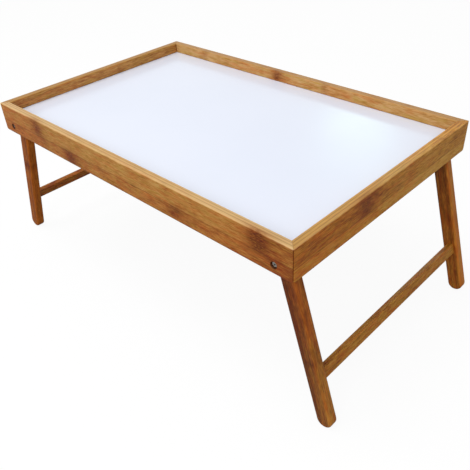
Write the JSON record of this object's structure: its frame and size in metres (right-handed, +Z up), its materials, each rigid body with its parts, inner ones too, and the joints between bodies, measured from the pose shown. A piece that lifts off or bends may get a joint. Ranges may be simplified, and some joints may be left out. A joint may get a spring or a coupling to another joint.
{
  "type": "bed tray table",
  "caption": "Low bed tray table: a mitred bamboo box with a raised rim and a white panel, standing on two splayed leg frames that fold flat under the panel.",
  "frame": {"origin": "on the floor under the middle of the tray", "axes": "+X along the long side of the tray, +Y from the front long rail to the rear one, +Z up"},
  "size_m": [0.5816, 0.314, 0.2192],
  "materials": {
    "bamboo_rail": "carbonised bamboo strips under satin lacquer",
    "bamboo_leg": "darker carbonised bamboo strips under satin lacquer",
    "white_laminate": "cool white melamine facing on fibreboard",
    "beech": "raw beech, glued",
    "zinc_steel": "bright zinc plate"
  },
  "bodies": {
    "tray": {"front_rail": "bamboo_rail", "rear_rail": "bamboo_rail", "left_end_rail": "bamboo_rail", "right_end_rail": "bamboo_rail", "tray_panel": "white_laminate", "left_front_mitre_key": "beech", "left_rear_mitre_key": "beech", "right_front_mitre_key": "beech", "right_rear_mitre_key": "beech", "left_front_pivot_bolt": "zinc_steel", "left_front_rail_washer": "zinc_steel", "left_front_leg_washer": "zinc_steel", "left_front_lock_nut": "zinc_steel", "left_rear_pivot_bolt": "zinc_steel", "left_rear_rail_washer": "zinc_steel", "left_rear_leg_washer": "zinc_steel", "left_rear_lock_nut": "zinc_steel", "right_front_pivot_bolt": "zinc_steel", "right_front_rail_washer": "zinc_steel", "right_front_leg_washer": "zinc_steel", "right_front_lock_nut": "zinc_steel", "right_rear_pivot_bolt": "zinc_steel", "right_rear_rail_washer": "zinc_steel", "right_rear_leg_washer": "zinc_steel", "right_rear_lock_nut": "zinc_steel"},
    "left_leg_frame": {"left_front_leg": "bamboo_leg", "left_rear_leg": "bamboo_leg", "left_crossbar": "bamboo_leg", "left_crossbar_dowels": "beech"},
    "right_leg_frame": {"right_front_leg": "bamboo_leg", "right_rear_leg": "bamboo_leg", "right_crossbar": "bamboo_leg", "right_crossbar_dowels": "beech"}
  },
  "joints": [
    {"name": "left_leg_fold", "type": "hinge", "parent": "tray", "child": "left_leg_frame", "pos_m": [-0.22782, 0, 0.19118], "axis": [0, -1, 0], "range_deg": [0, 106.5]},
    {"name": "right_leg_fold", "type": "hinge", "parent": "tray", "child": "right_leg_frame", "pos_m": [0.22782, 0, 0.19118], "axis": [0, 1, 0], "range_deg": [0, 106.5]}
  ]
}
